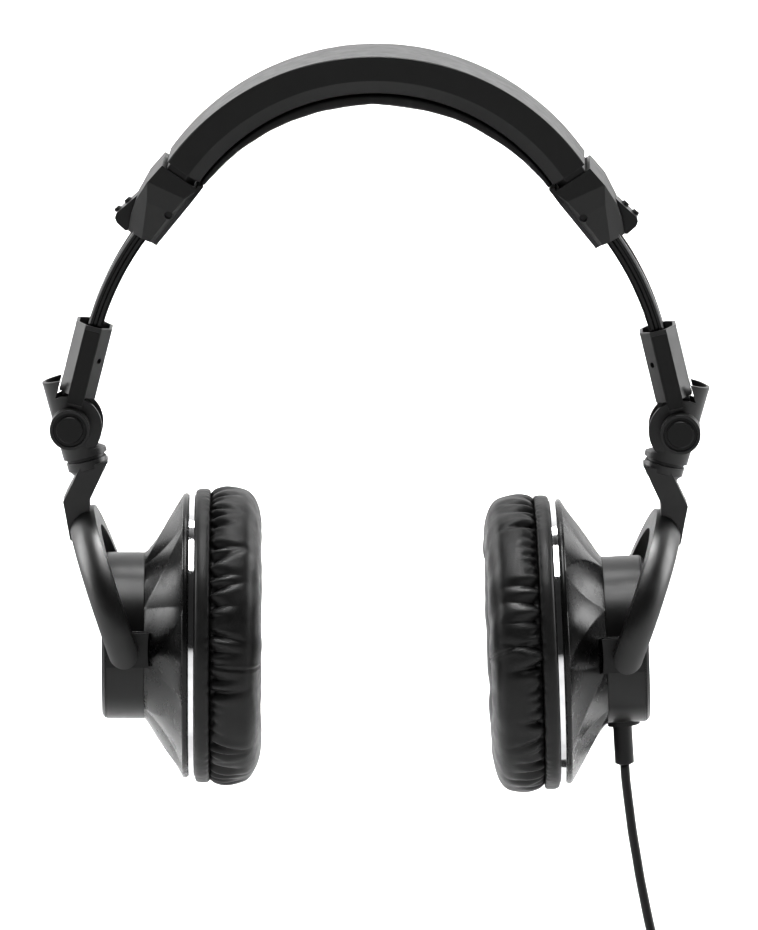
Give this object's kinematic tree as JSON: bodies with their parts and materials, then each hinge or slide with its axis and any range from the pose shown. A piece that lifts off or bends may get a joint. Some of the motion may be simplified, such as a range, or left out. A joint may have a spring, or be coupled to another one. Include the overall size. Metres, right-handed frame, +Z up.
{
  "type": "over ear headphones",
  "caption": "Closed-back over-ear headphones with a padded headband, sliding and folding arms, swivelling yokes, tilting round cups and a plug-in lead.",
  "frame": {"origin": "underside of the headband pad at its middle, where it rests on the head", "axes": "+Z up, +X towards the cup that has the lead (the right side seen from the front), +Y to the back of the head"},
  "size_m": [0.2088, 0.0945, 0.3621],
  "materials": {
    "shell_plastic": "satin moulded plastic, fine grain",
    "cap_plastic": "moulded plastic, fine grain",
    "slider_plastic": "smooth semi-gloss plastic",
    "arm_plastic": "satin moulded plastic",
    "yoke_plastic": "satin plastic with a soft sheen",
    "hub_plastic": "satin plastic",
    "cup_gloss": "semi-gloss lacquered plastic",
    "dark_plastic": "plain black plastic",
    "trim_chrome": "bright plated trim",
    "spring_steel": "sprung strip",
    "plain_steel": "turned pin",
    "black_steel": "black screws",
    "magnet_coating": "plated magnet",
    "diaphragm_film": "thin film",
    "scrim_fabric": "thin open cloth",
    "band_leatherette": "smooth leatherette over foam",
    "pad_leatherette": "soft leatherette over foam",
    "boot_rubber": "smooth moulded boot",
    "lead_jacket": "flexible jacket",
    "tie_strap": "woven strap",
    "contact_metal": "plated plug contacts"
  },
  "bodies": {
    "headband": {"headband_shell": "shell_plastic", "headband_spring": "spring_steel", "headband_pad": "band_leatherette", "left_end_cap": "cap_plastic", "left_cap_cover": "cap_plastic", "left_cap_screws": "black_steel", "left_click_cover": "cap_plastic", "right_end_cap": "cap_plastic", "right_cap_cover": "cap_plastic", "right_cap_screws": "black_steel", "right_click_cover": "cap_plastic"},
    "left_slider": {"left_slider_bar": "slider_plastic", "left_hinge_arm": "arm_plastic", "left_arm_inserts": "dark_plastic"},
    "left_hinge": {"left_hinge_barrel": "arm_plastic", "left_fold_pin": "plain_steel", "left_pin_caps": "dark_plastic"},
    "left_yoke": {"left_yoke": "yoke_plastic", "left_swivel_rings": "dark_plastic"},
    "left_cup": {"left_hub_housing": "hub_plastic", "left_hub_cover": "hub_plastic", "left_pivot_pins": "plain_steel", "left_cup_shell": "cup_gloss", "left_trim_ring": "trim_chrome", "left_baffle": "dark_plastic", "left_driver_frame": "dark_plastic", "left_driver_magnet": "magnet_coating", "left_diaphragm": "diaphragm_film", "left_ear_scrim": "scrim_fabric", "left_cup_screws": "black_steel", "left_ear_pad": "pad_leatherette"},
    "right_slider": {"right_slider_bar": "slider_plastic", "right_hinge_arm": "arm_plastic", "right_arm_inserts": "dark_plastic"},
    "right_hinge": {"right_hinge_barrel": "arm_plastic", "right_fold_pin": "plain_steel", "right_pin_caps": "dark_plastic"},
    "right_yoke": {"right_yoke": "yoke_plastic", "right_swivel_rings": "dark_plastic"},
    "right_cup": {"right_hub_housing": "hub_plastic", "right_hub_cover": "hub_plastic", "right_pivot_pins": "plain_steel", "right_cup_shell": "cup_gloss", "right_trim_ring": "trim_chrome", "right_baffle": "dark_plastic", "right_driver_frame": "dark_plastic", "right_driver_magnet": "magnet_coating", "right_diaphragm": "diaphragm_film", "right_ear_scrim": "scrim_fabric", "right_cup_screws": "black_steel", "right_ear_pad": "pad_leatherette", "cable_socket": "dark_plastic"},
    "cable_plug": {"cable_plug_pin": "contact_metal", "cable_plug_boot": "boot_rubber"},
    "lead": {"cable": "lead_jacket", "cable_coil": "lead_jacket", "cable_tie": "tie_strap", "jack_pin": "contact_metal", "jack_boot": "boot_rubber"}
  },
  "joints": [
    {"name": "left_slide", "type": "hinge", "parent": "headband", "child": "left_slider", "pos_m": [0, 0, -0.0955], "axis": [0, -1, 0], "range_deg": [-8, 3]},
    {"name": "left_fold", "type": "hinge", "parent": "left_slider", "child": "left_hinge", "pos_m": [-0.0952, 0, -0.1025], "axis": [0, -1, 0], "range_deg": [0, 75]},
    {"name": "left_swivel", "type": "hinge", "parent": "left_hinge", "child": "left_yoke", "pos_m": [-0.0764, 0, -0.1694], "axis": [-0.2436, 0, 0.9699], "range_deg": [-90, 90]},
    {"name": "left_tilt", "type": "hinge", "parent": "left_yoke", "child": "left_cup", "pos_m": [-0.0784, -0.00004, -0.1694], "axis": [-0.0212, 0.9998, -0.0053], "range_deg": [-12, 12]},
    {"name": "right_slide", "type": "hinge", "parent": "headband", "child": "right_slider", "pos_m": [0, 0, -0.0955], "axis": [0, -1, 0], "range_deg": [-3, 8]},
    {"name": "right_fold", "type": "hinge", "parent": "right_slider", "child": "right_hinge", "pos_m": [0.0952, 0, -0.1025], "axis": [0, -1, 0], "range_deg": [-75, 0]},
    {"name": "right_swivel", "type": "hinge", "parent": "right_hinge", "child": "right_yoke", "pos_m": [0.0764, 0, -0.1694], "axis": [0.2436, 0, 0.9699], "range_deg": [-90, 90]},
    {"name": "right_tilt", "type": "hinge", "parent": "right_yoke", "child": "right_cup", "pos_m": [0.0784, 0.00006, -0.1694], "axis": [-0.0296, 0.9995, 0.0074], "range_deg": [-12, 12]},
    {"name": "cable_plug_pull", "type": "slide", "parent": "right_cup", "child": "cable_plug", "axis": [0.0696, 0.0095, -0.9975], "range_m": [0, 0.02]},
    {"name": "lead_flex", "type": "hinge", "parent": "cable_plug", "child": "lead", "pos_m": [0.0787, 0.0004, -0.2092], "axis": [0, -1, 0], "range_deg": [0, 80], "deforming": ["cable"]}
  ],
  "couplings": [
    {"joint": "lead_flex", "follows": "right_fold", "ratio": -1.05}
  ]
}
